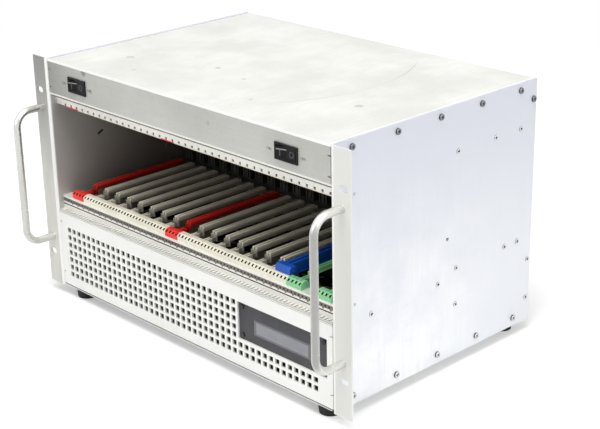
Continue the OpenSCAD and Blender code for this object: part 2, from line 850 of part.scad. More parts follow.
// The blue guide has a raised head that stands over a plain one
module lower_guide_blue() {
    half = (slot_pitch - head_gap) / 2;
    low = head_h + head_gap;
    color("royalblue") at_slot(blue_slot) {
        along_x(-half, half) polygon([[blue_setback, low], [blue_setback, blue_top - head_chamfer],
            [blue_setback + head_chamfer, blue_top], [blue_setback + blue_head_l, blue_top],
            [blue_setback + blue_head_l, low]]);
        guide_beam(head_d + head_gap, blue_low, blue_top, blue_beam_w);
    }
}

module upper_guides_ivory() {
    color("ivory") upper_row() for (i = concat(left_slots, right_slots, [for (k = [blue_slot:slot_count - 1]) k]))
        at_slot(i) upper_guide();
}
module upper_guides_red() { color("red") upper_row() for (i = red_slots) at_slot(i) upper_guide(); }

module backplane() {
    color("darkolivegreen") difference() {
        block(-board_x, board_x, rail_back, rail_back + backplane_t,
            guide_seat_z - board_lap, upper_seat_z + board_lap);
        for (i = [0:5], z = [guide_seat_z - board_lap / 2, upper_seat_z + board_lap / 2])
            bar_y(-board_x + slot_pitch / 2 + i * (2 * board_x - slot_pitch) / 5,
                rail_back - over, rail_back + backplane_t + over, z, hole_d);
    }
}

// Connector bodies, two to a slot place, each with two rows of contact fields
module backplane_connectors() {
    half_h = (connector_h - connector_split) / 2;
    color("dimgray") for (i = concat(red_slots, left_slots, right_slots, green_slots), s = [0, 1])
        translate([-cage_left + (i + 0.5) * slot_pitch, rail_back - connector_d,
            cage_mid_z - connector_h / 2 + s * (half_h + connector_split)])
            difference() {
                translate([-connector_w / 2, 0, 0]) cube([connector_w, connector_d, half_h]);
                for (x = [-connector_w / 4, connector_w / 4])
                    block(x - field_w / 2, x + field_w / 2, -over, field_d, field_w, half_h - field_w);
            }
}

module shelf_lower() {
    color("lightgray") difference() {
        union() {
            along_y(rear_rail_y, shelf_back) mirror([0, 1])
                tray_outline(cover_x, -(shelf_low_top - sheet_t), shelf_flange, sheet_t, cover_bend_r);
            both() block(cover_x - sheet_t, cover_x, rear_rail_y, rear_rail_y + shelf_ear_l,
                ear_low, shelf_low_top);
        }
        side_holes(shelf_low_ys, side_low_z, cover_x, sheet_t);
        side_holes([ear_screw[0]], ear_screw[1], cover_x, sheet_t);
    }
}

module shelf_upper() {
    color("lightgray") difference() {
        along_y(rear_rail_y, shelf_back)
            tray_outline(cover_x, shelf_high_low + sheet_t, shelf_high_flange, sheet_t, cover_bend_r);
        side_holes(shelf_high_ys, side_high_z, cover_x, sheet_t);
    }
}

module fan_holes(x, z0, z1) {
    for (i = [-1, 1], j = [-1, 1])
        bar_z(x + i * fan_screw_share * fan_side / 2, fan_y + j * fan_screw_share * fan_side / 2,
            z0, z1, fan_hole_d);
}

module fan_tray() {
    color("lightgray") difference() {
        along_y(tray_front, tray_back) tray_outline(cover_x, tray_top, tray_flange, sheet_t, cover_bend_r);
        side_holes([for (p = tray_screws) p[0]], tray_screw_z, cover_x, sheet_t);
        for (x = fan_xs) {
            bar_z(x, fan_y, fan_top - over, tray_top + over, 2 * bore_r);
            fan_holes(x, fan_top - over, tray_top + over);
        }
    }
}

// Square with round corners, in X and Y
module rounded_square(side, r) {
    square([side, side - 2 * r], center = true);
    square([side - 2 * r, side], center = true);
    for (i = [-1, 1], j = [-1, 1]) translate([i * (side / 2 - r), j * (side / 2 - r)]) circle(r);
}

// Fan frame: two square flanges on a round duct, with the motor plate on
// four spokes and a bearing tube in the middle
module fan_frame(x) {
    color("black") {
        difference() {
            union() {
                for (z = [fan_low, fan_top - motor_t])
                    translate([x, fan_y, z]) linear_extrude(motor_t) rounded_square(fan_side, corner_r);
                bar_z(x, fan_y, fan_low, fan_top, fan_side - 2 * sheet_gap);
            }
            bar_z(x, fan_y, fan_low - over, fan_top + over, 2 * bore_r);
            fan_holes(x, fan_low - over, fan_top + over);
        }
        difference() {
            union() {
                bar_z(x, fan_y, fan_low, fan_low + motor_t, 2 * (hub_r + hub_rim));
                bar_z(x, fan_y, fan_low, fan_low + tube_h, shaft_d + 2 * tube_wall);
                translate([x, fan_y, fan_low]) for (a = [45, 135])
                    rotate([0, 0, a]) translate([-bore_r - fan_wall / 2, -spoke_w / 2, 0])
                        cube([2 * bore_r + fan_wall, spoke_w, motor_t]);
            }
            bar_z(x, fan_y, fan_low + hub_gap, fan_low + tube_h + over, shaft_d + 2 * running_gap);
        }
    }
}

// Rotor: a cup over the motor, its shaft and a ring of tilted blades
module fan_rotor(x) {
    low = fan_low + motor_t + hub_gap;
    top = fan_top - tip_gap;
    color("black") translate([x, fan_y, 0]) {
        difference() {
            bar_z(0, 0, low, top, 2 * hub_r);
            bar_z(0, 0, low - over, top - hub_wall, 2 * (hub_r - hub_wall));
        }
        bar_z(0, 0, fan_low + 2 * hub_gap, top - hub_wall / 2, shaft_d);
        intersection() {
            difference() {
                bar_z(0, 0, low, top, 2 * tip_r);
                bar_z(0, 0, low - over, top + over, 2 * hub_r - hub_wall);
            }
            for (i = [0:fan_blades - 1])
                rotate([0, 0, i * 360 / fan_blades]) translate([hub_r - hub_wall, 0, (low + top) / 2])
                    rotate([blade_tilt, 0, 0]) translate([0, -fan_h / 2, -blade_t / 2])
                        cube([fan_side / 2, fan_h, blade_t]);
        }
    }
}

module power_supply() {
    color("silver") difference() {
        block(supply_x, supply_x + supply_w, supply_y, supply_y + supply_l,
            shelf_low_top, shelf_low_top + supply_h);
        for (i = [0:supply_slots - 1])
            block(supply_x + supply_w * (i + 1) / (supply_slots + 1) - vent_w / 2,
                supply_x + supply_w * (i + 1) / (supply_slots + 1) + vent_w / 2,
                supply_y + supply_l / 4, supply_y + supply_l * 3 / 4,
                shelf_low_top + supply_h - sheet_t, shelf_low_top + supply_h + over);
    }
}

// Flat pins of the inlet, from their tails behind it to their front ends
module pin_blocks() {
    for (p = [[-pin_step, -pin_rise], [0, pin_rise], [pin_step, -pin_rise]])
        block(inlet_x + p[0] - pin_t / 2, inlet_x + p[0] + pin_t / 2,
            rear_face_y - inlet_body - pin_tail, rear_y - pin_inset,
            inlet_z + p[1] - pin_w / 2, inlet_z + p[1] + pin_w / 2);
}

// Mains inlet: a flange outside the rear panel, a body through it, and a
// socket with two cut corners
module mains_inlet() {
    color("black") difference() {
        union() {
            block(inlet_x - inlet_w / 2 - inlet_lap, inlet_x + inlet_w / 2 + inlet_lap,
                rear_face_y, rear_y, inlet_z - inlet_h / 2 - inlet_lap, inlet_z + inlet_h / 2 + inlet_lap);
            block(inlet_x - inlet_w / 2, inlet_x + inlet_w / 2,
                rear_face_y - inlet_body, rear_face_y + over, inlet_z - inlet_h / 2, inlet_z + inlet_h / 2);
        }
        translate([inlet_x, 0, inlet_z]) along_y(rear_y - socket_d, rear_y + over)
            polygon([[-socket_w / 2, -socket_h / 2], [socket_w / 2, -socket_h / 2],
                [socket_w / 2, socket_h / 2 - socket_cut], [socket_w / 2 - socket_cut, socket_h / 2],
                [-socket_w / 2 + socket_cut, socket_h / 2], [-socket_w / 2, socket_h / 2 - socket_cut]]);
        pin_blocks();
    }
}

module inlet_pins() { color("gold") pin_blocks(); }

module handle() {
    straight = handle_reach - handle_bend_r;
    color("silver") difference() {
        translate([handle_x, 0, mid_z]) {
            for (s = [0, 1]) mirror([0, 0, s]) {
                bar_y(0, -straight, 0, handle_span / 2, handle_d);
                translate([0, -straight, handle_span / 2 - handle_bend_r]) rotate([90, 0, -90])
                    rotate_extrude(angle = 90) translate([handle_bend_r, 0]) circle(d = handle_d);
            }
            bar_z(0, -handle_reach, -handle_span / 2 + handle_bend_r, handle_span / 2 - handle_bend_r,
                handle_d);
        }
        for (s = [-1, 1])
            bar_y(handle_x, -handle_screw_l - over, over, mid_z + s * handle_span / 2,
                handle_screw_d + screw_gap);
    }
}

module handle_screws() {
    color("silver") both() for (s = [-1, 1]) {
        bar_y(handle_x, side_t, side_t + handle_head_h, mid_z + s * handle_span / 2,
            handle_head_share * handle_screw_d);
        bar_y(handle_x, -handle_screw_l, side_t + handle_head_h / 2, mid_z + s * handle_span / 2,
            handle_screw_d);
    }
}

module switch_housing(x) {
    color("black") difference() {
        union() {
            block(x - switch_w / 2, x + switch_w / 2, panel_y - frame_rise, panel_y,
                switch_z - switch_h / 2, switch_z + switch_h / 2);
            block(x - switch_body_w / 2, x + switch_body_w / 2, panel_y - frame_rise / 2, switch_back,
                switch_z - switch_body_h / 2, switch_z + switch_body_h / 2);
        }
        block(x - pocket_l / 2, x + pocket_l / 2, panel_y - frame_rise - over, pocket_back,
            switch_z - pocket_h / 2, switch_z + pocket_h / 2);
        bar_z(x, pivot_y, switch_z - rocker_h / 2 - pin_l - rocker_gap,
            switch_z + rocker_h / 2 + pin_l + rocker_gap, pin_d + 2 * running_gap);
    }
}

// Rocker with a shallow V across its face and two stub pins to tip on
module switch_rocker(x) {
    color("black") translate([x, pivot_y, switch_z]) rotate([0, 0, rocker_travel / 2]) {
        translate([0, 0, -rocker_h / 2]) linear_extrude(rocker_h) intersection() {
            circle(rocker_r);
            polygon([[-rocker_r, -rocker_front - rocker_scoop], [0, -rocker_front],
                [rocker_r, -rocker_front - rocker_scoop], [rocker_r, rocker_back],
                [-rocker_r, rocker_back]]);
        }
        bar_z(0, 0, -rocker_h / 2 - pin_l, rocker_h / 2 + pin_l, pin_d);
    }
}

module switch_terminals() {
    color("gold") for (x = switch_xs, s = [-1, 0, 1])
        block(x + s * switch_body_w / 3 - blade_thick / 2, x + s * switch_body_w / 3 + blade_thick / 2,
            switch_back, switch_back + blade_l, switch_z - blade_w / 2, switch_z + blade_w / 2);
}

bezel_screws = [for (x = [display_left + bezel_screw_inset, display_right - bezel_screw_inset],
    z = [display_low + bezel_screw_inset, display_low + display_h - bezel_screw_inset]) [x, z]];

module display_bezel() {
    color("dimgray") difference() {
        block(display_left - bezel_lap, display_right + bezel_lap, bezel_y, bezel_y + bezel_t,
            display_low - bezel_lap, display_low + display_h + bezel_lap);
        block(window_left, window_left + window_w, bezel_y - over, bezel_y + bezel_t + over,
            window_low, window_low + window_h);
        for (p = bezel_screws) bar_y(p[0], bezel_y - over, bezel_y + bezel_t + over, p[1], hole_d);
    }
}

window_y = bezel_y + bezel_t;
module display_window() {
    color("gray") {
        block(window_left - window_edge, window_left + window_w + window_edge,
            window_y, window_y + window_t, window_low - window_edge, window_low + window_h + window_edge);
        block(window_left + window_gap, window_left + window_w - window_gap,
            bezel_y + window_recess, window_y + window_t / 2,
            window_low + window_gap, window_low + window_h - window_gap);
    }
}

board_y = window_y + board_gap;
module display_board() {
    color("darkgreen") difference() {
        union() {
            block(display_left, display_right, board_y, board_y + board_t,
                display_low, display_low + display_h);
            block(window_left - 2 * window_edge, window_left + window_w + 2 * window_edge,
                window_y + window_t, board_y, window_low - 2 * window_edge,
                window_low + window_h + 2 * window_edge);
        }
        for (p = bezel_screws) bar_y(p[0], board_y - over, board_y + board_t + over, p[1], hole_d);
    }
}

module display_spacers() {
    color("gold") for (p = bezel_screws) difference() {
        bar_y(p[0], window_y, board_y, p[1], spacer_d);
        bar_y(p[0], window_y - over, board_y + over, p[1], hole_d);
    }
}

module display_screws() {
    color("dimgray") for (p = bezel_screws) {
        bar_y(p[0], bezel_y - bezel_head_h, bezel_y, p[1], bezel_head_d);
        bar_y(p[0], bezel_y - bezel_head_h / 2, board_y + board_t + bezel_head_h, p[1], screw_d);
    }
}

module feet() {
    color("black") for (x = [-foot_x, foot_x], y = foot_ys) difference() {
        translate([x, y, -foot_drop]) cylinder(d1 = foot_floor_d, d2 = foot_d, h = foot_drop + base_low);
        bar_z(x, y, -foot_drop - over, -foot_drop + foot_drop / 2, pan_d + 2 * foot_well);
        bar_z(x, y, -foot_drop, base_low + over, hole_d);
    }
}

module foot_screws() {
    color("silver") for (x = [-foot_x, foot_x], y = foot_ys) {
        bar_z(x, y, -foot_drop / 2 - pan_h, -foot_drop / 2, pan_d);
        bar_z(x, y, -foot_drop / 2 - pan_h / 2, base_top + foot_nut_h, screw_d);
        difference() {
            translate([x, y, base_top]) cylinder(d = 2 * screw_d, h = foot_nut_h, $fn = 6);
            bar_z(x, y, base_top - over, base_top + foot_nut_h + over, screw_d - screw_gap);
        }
    }
}

module cover_screws() {
    color("dimgray") both() for (p = pan_places) {
        bar_x(outer_x, outer_x + pan_h, p[0], p[1], pan_d);
        bar_x(outer_x - screw_l, outer_x + pan_h / 2, p[0], p[1], screw_d);
    }
}

module side_screws() {
    color("silver") both() for (p = flat_places) {
        bar_x(outer_x, outer_x + flat_h, p[0], p[1], flat_d);
        bar_x(outer_x - screw_l, outer_x + flat_h / 2, p[0], p[1], screw_d);
    }
}

placed() mirror([1, 0, 0]) side_panel();  // side_panel_left
placed() side_panel();  // side_panel_right
placed() top_cover();
placed() base_plate();
placed() rear_panel();
placed() header_panel();
placed() lower_front_panel();
placed() display_bezel();
placed() display_window();
placed() display_board();
placed() display_spacers();
placed() display_screws();
placed() mirror([1, 0, 0]) handle();  // handle_left
placed() handle();  // handle_right
placed() handle_screws();
placed() front_rail_lower();
placed() front_rail_upper();
placed() rear_rail_lower();
placed() rear_rail_upper();
placed() threaded_strip(guide_seat_z, -1);  // threaded_strip_lower
placed() threaded_strip(upper_seat_z, 1);  // threaded_strip_upper
placed() rail_brackets();
placed() switch_housing(-switch_left_x);  // switch_left_housing
placed() switch_rocker(-switch_left_x);  // switch_left_rocker
placed() switch_housing(switch_right_x);  // switch_right_housing
placed() switch_rocker(switch_right_x);  // switch_right_rocker
placed() switch_terminals();
placed() lower_guides_left();
placed() lower_guides_right();
placed() lower_guides_red();
placed() lower_guide_blue();
placed() lower_guides_green();
placed() upper_guides_ivory();
placed() upper_guides_red();
placed() backplane();
placed() backplane_connectors();
placed() shelf_lower();
placed() shelf_upper();
placed() fan_tray();
placed() fan_frame(-fan_pitch);  // fan_left_frame
placed() fan_frame(0);  // fan_middle_frame
placed() fan_frame(fan_pitch);  // fan_right_frame
placed() fan_rotor(-fan_pitch);  // fan_left_rotor
placed() fan_rotor(0);  // fan_middle_rotor
placed() fan_rotor(fan_pitch);  // fan_right_rotor
placed() power_supply();
placed() mains_inlet();
placed() inlet_pins();
placed() feet();
placed() foot_screws();
placed() cover_screws();
placed() side_screws();
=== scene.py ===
import math
import bpy
from mathutils import Matrix, Vector


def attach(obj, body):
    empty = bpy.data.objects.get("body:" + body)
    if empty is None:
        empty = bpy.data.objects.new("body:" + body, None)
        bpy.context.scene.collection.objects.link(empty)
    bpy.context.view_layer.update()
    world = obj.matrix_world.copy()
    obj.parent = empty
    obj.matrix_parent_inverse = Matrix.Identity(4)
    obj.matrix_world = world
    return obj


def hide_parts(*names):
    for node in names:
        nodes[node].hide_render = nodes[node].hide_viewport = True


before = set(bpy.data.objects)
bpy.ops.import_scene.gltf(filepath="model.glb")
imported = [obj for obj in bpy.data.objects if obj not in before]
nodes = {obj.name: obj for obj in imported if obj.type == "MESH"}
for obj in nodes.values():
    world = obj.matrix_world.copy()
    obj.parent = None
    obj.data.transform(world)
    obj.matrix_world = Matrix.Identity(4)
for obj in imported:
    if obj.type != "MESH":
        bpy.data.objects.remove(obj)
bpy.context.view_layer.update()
print("stage: frame loaded,", len(nodes), "nodes")


class Wire:
    # One output socket. Sums and comparisons on it add Math nodes, and add() makes any other node.
    def __init__(self, tree, socket=None):
        self.tree = tree
        self.socket = socket

    def add(self, kind, settings=None, inputs=None, out=0):
        node = self.tree.nodes.new("ShaderNode" + kind)
        for name, value in (settings or {}).items():
            setattr(node, name, value)
        for key, value in (inputs or {}).items():
            if isinstance(value, Wire):
                self.tree.links.new(value.socket, node.inputs[key])
            else:
                node.inputs[key].default_value = value
        return Wire(self.tree, node.outputs[out])

    def maths(self, operation, first, second=0.0):
        return self.add("Math", {"operation": operation}, {0: first, 1: second})

    def __add__(self, other): return self.maths("ADD", self, other)
    def __sub__(self, other): return self.maths("SUBTRACT", self, other)
    def __rsub__(self, other): return self.maths("SUBTRACT", other, self)
    def __mul__(self, other): return self.maths("MULTIPLY", self, other)
    def __gt__(self, other): return self.maths("GREATER_THAN", self, other)
    def __lt__(self, other): return self.maths("LESS_THAN", self, other)

    def between(self, low, high, lowOut=0.0, highOut=1.0):
        # A smooth rise from lowOut to highOut
        return self.add("MapRange", {"interpolation_type": "SMOOTHSTEP"},
                        {0: self, 1: low, 2: high, 3: lowOut, 4: highOut})

    def tint(self, first, second):
        # The first colour where this is 0, the second where it is 1
        return self.add("Mix", {"data_type": "RGBA"}, {0: self, 6: first, 7: second}, 2)


def rgb(red, green, blue):
    # A screen colour, 0 to 255, as the renderer's linear values
    return tuple((c / 12.92 if c <= 0.04045 else ((c + 0.055) / 1.055) ** 2.4)
                 for c in (red / 255, green / 255, blue / 255)) + (1.0,)


def newFinish(name):
    finish = bpy.data.materials.new(name)
    finish.use_nodes = True
    finish.node_tree.nodes.clear()
    return finish, Wire(finish.node_tree)


def closeFinish(start, shader):
    end = start.tree.nodes.new("ShaderNodeOutputMaterial")
    start.tree.links.new(shader.socket, end.inputs[0])


def objectPlace(start):
    return start.add("TexCoord", out="Object")


def noise(start, scale, detail, stretch=(1, 1, 1), roughness=0.55, shift=(0, 0, 0)):
    place = start.add("Mapping", None, {"Vector": objectPlace(start), "Location": shift, "Scale": stretch})
    return start.add("TexNoise", None, {"Vector": place, "Scale": scale, "Detail": detail,
                                        "Roughness": roughness})


def bumped(height, strength):
    return height.add("Bump", None, {"Height": height, "Strength": strength, "Distance": 0.0002})


def axes(start):
    # Where a point lies, in metres. Side is its distance from the middle, to the left or to the right.
    across, deep, high = [start.add("SeparateXYZ", None, {0: objectPlace(start)}, out) for out in range(3)]
    return {"across": across, "deep": deep, "high": high, "side": across.maths("ABSOLUTE", across)}


def farFrom(start, centre):
    return start.add("VectorMath", {"operation": "DISTANCE"}, {0: objectPlace(start), 1: centre}, "Value")


def inArea(places, area):
    # 1 between all the limits, else 0. A limit of -1 or 1 leaves that end open.
    inside = 1.0
    for axis, (low, high) in area.items():
        inside = (places[axis] > low) * (places[axis] < high) * inside
    return inside


def paintAreas(places, look, tone):
    for axis, span, fadeTone in look.get("fades", []):
        tone = places[axis].between(*span).tint(tone, fadeTone)
    for area, areaTone in look.get("areas", []):
        tone = inArea(places, area).tint(tone, areaTone)
    return tone


# What every metal finish starts from, and its own look may change
metalStart = {
    "grainScale": 60, "grainTone": 0.25, "cloudScale": 9, "speckScale": 420, "speckSpan": (0.66, 0.74),
    "speckTone": 0.35, "scratchScale": 34, "scratchWay": (14, 0.7, 9), "scratchShift": (3, 7, 1),
    "scratchSpan": (0.7, 0.74), "scratchTone": 0.15, "metal": 0.6, "bump": 0.12, "roughLess": 0.06,
    "roughMore": 0.08, "scuffs": [], "scuffScale": 260}


def flangeTones(start, places, look, tone):
    # The turned flange is painted greyer than the side, most of all on the left, as painted shade mixed
    # with a worn pattern; it is painted darker towards its top as shade, lighter on the right as painted
    # light, and its bend gets a painted highlight
    worn = noise(start, look["wornScale"], 5, look["wornWay"]).between(0.35, 0.65)
    left = worn.tint(look["flangeTone"], look["flangeWorn"])
    left = places["high"].between(*look["flangeSpan"]).tint(left, look["flangeTopShade"])
    near = (places["across"] > 0.0).tint(left, look["flangeRight"])
    near = (places["side"] < look["bendHalf"]).tint(near, look["bendHighlight"])
    return (places["deep"] < look["flangeBack"]).tint(tone, near)


def innerTones(places, look, tone):
    # Inside the case the sheet is painted darker as shade, and the painted shade deepens towards the back
    inside = (places["side"] < look["innerHalf"]) * (places["high"] < look["innerTop"])
    paintedBackShade = places["deep"].between(*look["innerSpan"])
    return inside.tint(tone, paintedBackShade.tint(look["innerTone"], look["innerDeep"]))


def arcScratch(start, places, look, tone):
    # One long, faint, curved scratch
    arc = look["arc"]
    far = farFrom(start, arc["centre"])
    line = far.between(arc["radius"] - arc["wide"], arc["radius"])
    line = line * (1 - far.between(arc["radius"], arc["radius"] + arc["wide"]))
    kept = places["across"].between(arc["left"], arc["left"] + arc["ends"])
    kept = kept * (1 - places["across"].between(arc["right"] - arc["ends"], arc["right"]))
    return (line * kept * arc["depth"]).tint(tone, look["mark"])


def makeMetal(name, ownLook):
    # Satin metal: fine grain along one way, cloudy tone, specks and faint scratches
    look = {**metalStart, **ownLook}
    finish, start = newFinish(name)
    grain = noise(start, look["grainScale"], 4, look["grain"], 0.6)
    cloud = noise(start, look["cloudScale"], 4)
    speck = noise(start, look["speckScale"], 2).between(*look["speckSpan"])
    scratch = noise(start, look["scratchScale"], 1, look["scratchWay"], 0.4, look["scratchShift"])
    scratch = scratch.between(*look["scratchSpan"])
    tone = cloud.between(0.3, 0.7).tint(look["dark"], look["light"])
    tone = (grain.between(0.3, 0.7) * look["grainTone"]).tint(tone, look["dark"])
    tone = (speck * look["speckTone"]).tint(tone, look["mark"])
    tone = (scratch * look["scratchTone"]).tint(tone, look["mark"])
    places = axes(start)
    tone = paintAreas(places, look, tone)
    if "coreReflectionTone" in look:  # a painted reflection: the right handle's rod is painted darker along one line, as the dark core of its reflection
        east, south = look["coreWay"]
        lean = (places["across"] - look["coreAt"][0]) * east + (places["deep"] - look["coreAt"][1]) * south
        tone = (lean.between(*look["coreSpan"]) * (places["across"] > 0.0)).tint(tone, look["coreReflectionTone"])
    if "flangeTone" in look:
        tone = flangeTones(start, places, look, tone)
    if "innerTone" in look:
        tone = innerTones(places, look, tone)
    for centre, reach, depth in look["scuffs"]:  # full from the middle to half the reach
        ragged = noise(start, look["scuffScale"], 4).between(0.3, 0.7, 0.4, 1.0)
        worn = 1 - farFrom(start, centre).between(reach / 2, reach)
        tone = (worn * ragged * depth).tint(tone, look["mark"])
    if "arc" in look:
        tone = arcScratch(start, places, look, tone)
    rough = grain.between(0.2, 0.8, look["rough"] - look["roughLess"], look["rough"] + look["roughMore"])
    closeFinish(start, start.add("BsdfPrincipled", None, {
        "Base Color": tone, "Metallic": look["metal"], "Roughness": rough,
        "Normal": bumped(grain, look["bump"])}))
    return finish


# What every plastic finish starts from
plasticStart = {"cloudScale": 40, "gritScale": 900, "grit": 0.1, "gloss": 0.5, "roughLess": 0.05,
                "roughMore": 0.07, "pits": []}

# Painted shade: the guides' beams are painted darker on their flanks and towards the back
beamShade = {"area": {"deep": (-0.1, 1), "high": (-1, 0.14)}, "flank": (0.127, 0.1306),
             "fade": (-0.07, 0.04), "fadeShare": 0.6}


def makePlastic(name, ownLook):
    look = {**plasticStart, **ownLook}
    finish, start = newFinish(name)
    cloud = noise(start, look["cloudScale"], 3)
    grit = noise(start, look["gritScale"], 2)
    tone = cloud.between(0.3, 0.7).tint(look["dark"], look["light"])
    places = axes(start)
    for row in look["pits"]:  # painted shade: the heads are painted dark inside their small holes and notches
        run = (places["across"] - row["first"]) * (1 / row["pitch"]) + 100.5  # 100 keeps it above 0
        step = run.maths("FRACT", run) - 0.5
        pit = (step * step < row["share"] ** 2) * inArea(places, row["area"])
        tone = pit.tint(tone, look["pitShade"])
    # painted shade on the beams' flanks and towards the back
    if "flankShade" in look:
        beam = inArea(places, beamShade["area"])
        flank = 1 - places["high"].between(*beamShade["flank"])
        fade = places["deep"].between(*beamShade["fade"]) * beamShade["fadeShare"]
        tone = (beam * flank).tint(tone, look["flankShade"])
        tone = (beam * fade).tint(tone, look["flankShade"])
    tone = paintAreas(places, look, tone)
    if "frameTone" in look:  # a darker frame inside the window
        tone = inArea(places, look["frame"]).tint(look["frameTone"], tone)
    rough = cloud.between(0.2, 0.8, look["rough"] - look["roughLess"], look["rough"] + look["roughMore"])
    closeFinish(start, start.add("BsdfPrincipled", None, {
        "Base Color": tone, "Roughness": rough, "Normal": bumped(grit, look["grit"]),
        "Specular IOR Level": look["gloss"]}))
    return finish


